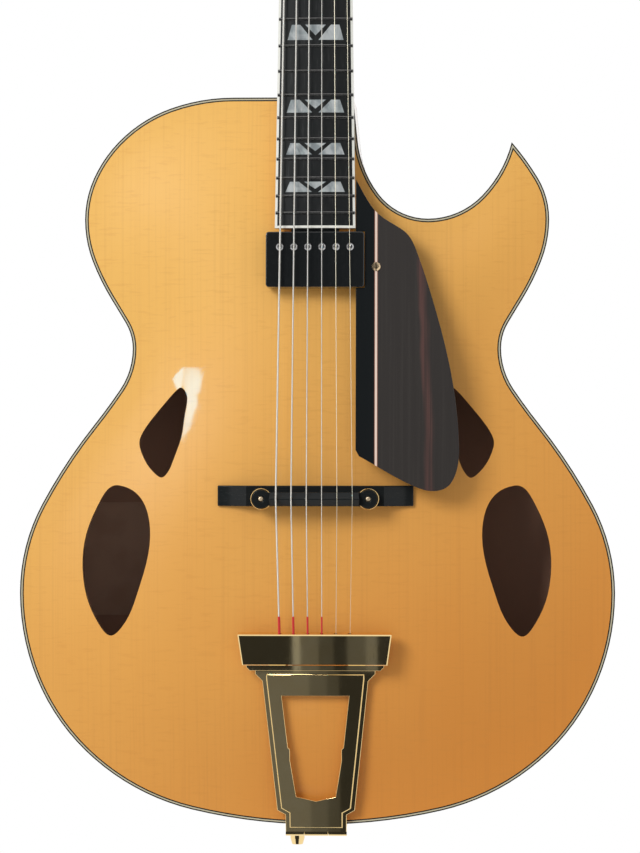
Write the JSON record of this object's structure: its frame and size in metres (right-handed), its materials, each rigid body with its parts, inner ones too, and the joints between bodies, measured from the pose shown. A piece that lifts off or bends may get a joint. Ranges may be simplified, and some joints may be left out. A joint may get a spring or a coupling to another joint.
{
  "type": "archtop guitar",
  "caption": "Archtop guitar with a hollow arched body, rounded cutaway, paired leaf-shaped sound holes, floating pickup, adjustable bridge and hinged trapeze tailpiece.",
  "frame": {"origin": "middle of the bounding box at its lowest level, the tip of the end-pin jack", "axes": "+Z from the tail to the headstock, +X to the treble side, -Y out of the front"},
  "size_m": [0.4272, 0.1456, 1.0762],
  "materials": {
    "top_wood": "clear gloss lacquer over honey-coloured spruce",
    "maple": "clear gloss lacquer over honey-coloured maple",
    "inner_wood": "bare wood inside the box",
    "ebony": "polished black wood",
    "binding_dark": "gloss",
    "binding_pale": "gloss",
    "pearl": "pearly gloss",
    "nut_bone": "polished",
    "label_paper": "bare",
    "gold": "polished gold plate",
    "fret_metal": "polished",
    "steel": "plain",
    "string_steel": "bright",
    "string_wound": "wound",
    "black_plastic": "gloss",
    "coil_black": "matte"
  },
  "bodies": {
    "guitar": {"top_plate": "top_wood", "back_plate": "maple", "rim_bass": "maple", "rim_treble": "maple", "rim_cutaway": "maple", "binding_dark": "binding_dark", "binding_pale": "binding_pale", "neck_block": "inner_wood", "tail_block": "inner_wood", "linings": "inner_wood", "tone_bars": "inner_wood", "paper_label": "label_paper", "tail_bracket": "gold", "hinge_pin": "gold", "bracket_screws": "gold", "endpin_jack": "gold", "neck": "maple", "heel_cap": "ebony", "truss_rod": "steel", "fingerboard": "ebony", "fingerboard_binding": "binding_pale", "inlays": "pearl", "frets": "fret_metal", "nut": "nut_bone", "headstock_overlay": "ebony", "truss_rod_cover": "black_plastic", "headstock_screws": "gold", "tuner_housings": "gold", "tuner_bushings": "gold", "bridge_base": "ebony", "bridge_posts": "gold", "pickup_cover": "black_plastic", "pickup_coils": "coil_black", "pickup_magnet": "steel", "pickup_base_plate": "steel", "pickup_pole_screws": "gold", "pickup_rail": "ebony", "pickguard": "ebony", "pickguard_strip": "inner_wood", "pickguard_screw": "gold", "pickguard_feet": "ebony", "plain_strings": "string_steel", "wound_strings": "string_wound"},
    "tailpiece": {"tailpiece_frame": "gold", "tailpiece_bar": "gold"},
    "saddle": {"bridge_saddle": "ebony"},
    "wheel_bass": {"thumbwheel_bass": "gold"},
    "wheel_treble": {"thumbwheel_treble": "gold"},
    "key_1": {"tuner_key_1": "gold"},
    "post_1": {"tuner_post_1": "gold"},
    "key_2": {"tuner_key_2": "gold"},
    "post_2": {"tuner_post_2": "gold"},
    "key_3": {"tuner_key_3": "gold"},
    "post_3": {"tuner_post_3": "gold"},
    "key_4": {"tuner_key_4": "gold"},
    "post_4": {"tuner_post_4": "gold"},
    "key_5": {"tuner_key_5": "gold"},
    "post_5": {"tuner_post_5": "gold"},
    "key_6": {"tuner_key_6": "gold"},
    "post_6": {"tuner_post_6": "gold"}
  },
  "joints": [
    {"name": "tailpiece_hinge", "type": "hinge", "parent": "guitar", "child": "tailpiece", "pos_m": [0, -0.02969, 0.0133], "axis": [1, 0, 0], "range_deg": [-1.5, 10], "stiffness_Nm_per_rad": 6, "deforming": ["plain_strings", "wound_strings"]},
    {"name": "saddle_height", "type": "slide", "parent": "guitar", "child": "saddle", "axis": [0, -1, 0], "range_m": [-0.00175, 0.0035], "deforming": ["plain_strings", "wound_strings"]},
    {"name": "wheel_bass_turn", "type": "hinge", "parent": "saddle", "child": "wheel_bass", "pos_m": [-0.038, -0.0577, 0.25268], "axis": [0, -1, 0], "range_deg": [-900, 1800]},
    {"name": "wheel_treble_turn", "type": "hinge", "parent": "saddle", "child": "wheel_treble", "pos_m": [0.038, -0.0577, 0.25268], "axis": [0, -1, 0], "range_deg": [-900, 1800]},
    {"name": "key_1_turn", "type": "hinge", "parent": "guitar", "child": "key_1", "pos_m": [0.01985, 0.01382, 0.93061], "axis": [1, 0, 0], "continuous": true},
    {"name": "post_1_turn", "type": "hinge", "parent": "guitar", "child": "post_1", "pos_m": [0.01985, -0.00461, 0.94312], "axis": [0, -0.9511, 0.309], "continuous": true},
    {"name": "key_2_turn", "type": "hinge", "parent": "guitar", "child": "key_2", "pos_m": [0.02242, 0.0268, 0.97055], "axis": [1, 0, 0], "continuous": true},
    {"name": "post_2_turn", "type": "hinge", "parent": "guitar", "child": "post_2", "pos_m": [0.02242, 0.00836, 0.98306], "axis": [0, -0.9511, 0.309], "continuous": true},
    {"name": "key_3_turn", "type": "hinge", "parent": "guitar", "child": "key_3", "pos_m": [0.025, 0.03978, 1.0105], "axis": [1, 0, 0], "continuous": true},
    {"name": "post_3_turn", "type": "hinge", "parent": "guitar", "child": "post_3", "pos_m": [0.025, 0.02134, 1.02301], "axis": [0, -0.9511, 0.309], "continuous": true},
    {"name": "key_4_turn", "type": "hinge", "parent": "guitar", "child": "key_4", "pos_m": [-0.025, 0.03978, 1.0105], "axis": [-1, 0, 0], "continuous": true},
    {"name": "post_4_turn", "type": "hinge", "parent": "guitar", "child": "post_4", "pos_m": [-0.025, 0.02134, 1.02301], "axis": [0, -0.9511, 0.309], "continuous": true},
    {"name": "key_5_turn", "type": "hinge", "parent": "guitar", "child": "key_5", "pos_m": [-0.02242, 0.0268, 0.97055], "axis": [-1, 0, 0], "continuous": true},
    {"name": "post_5_turn", "type": "hinge", "parent": "guitar", "child": "post_5", "pos_m": [-0.02242, 0.00836, 0.98306], "axis": [0, -0.9511, 0.309], "continuous": true},
    {"name": "key_6_turn", "type": "hinge", "parent": "guitar", "child": "key_6", "pos_m": [-0.01985, 0.01382, 0.93061], "axis": [-1, 0, 0], "continuous": true},
    {"name": "post_6_turn", "type": "hinge", "parent": "guitar", "child": "post_6", "pos_m": [-0.01985, -0.00461, 0.94312], "axis": [0, -0.9511, 0.309], "continuous": true}
  ],
  "couplings": [
    {"joint": "wheel_bass_turn", "follows": "saddle_height", "rad_per_m": 8976},
    {"joint": "wheel_treble_turn", "follows": "saddle_height", "rad_per_m": 8976},
    {"joint": "post_1_turn", "follows": "key_1_turn", "ratio": 0.055556},
    {"joint": "post_2_turn", "follows": "key_2_turn", "ratio": 0.055556},
    {"joint": "post_3_turn", "follows": "key_3_turn", "ratio": 0.055556},
    {"joint": "post_4_turn", "follows": "key_4_turn", "ratio": 0.055556},
    {"joint": "post_5_turn", "follows": "key_5_turn", "ratio": 0.055556},
    {"joint": "post_6_turn", "follows": "key_6_turn", "ratio": 0.055556}
  ]
}
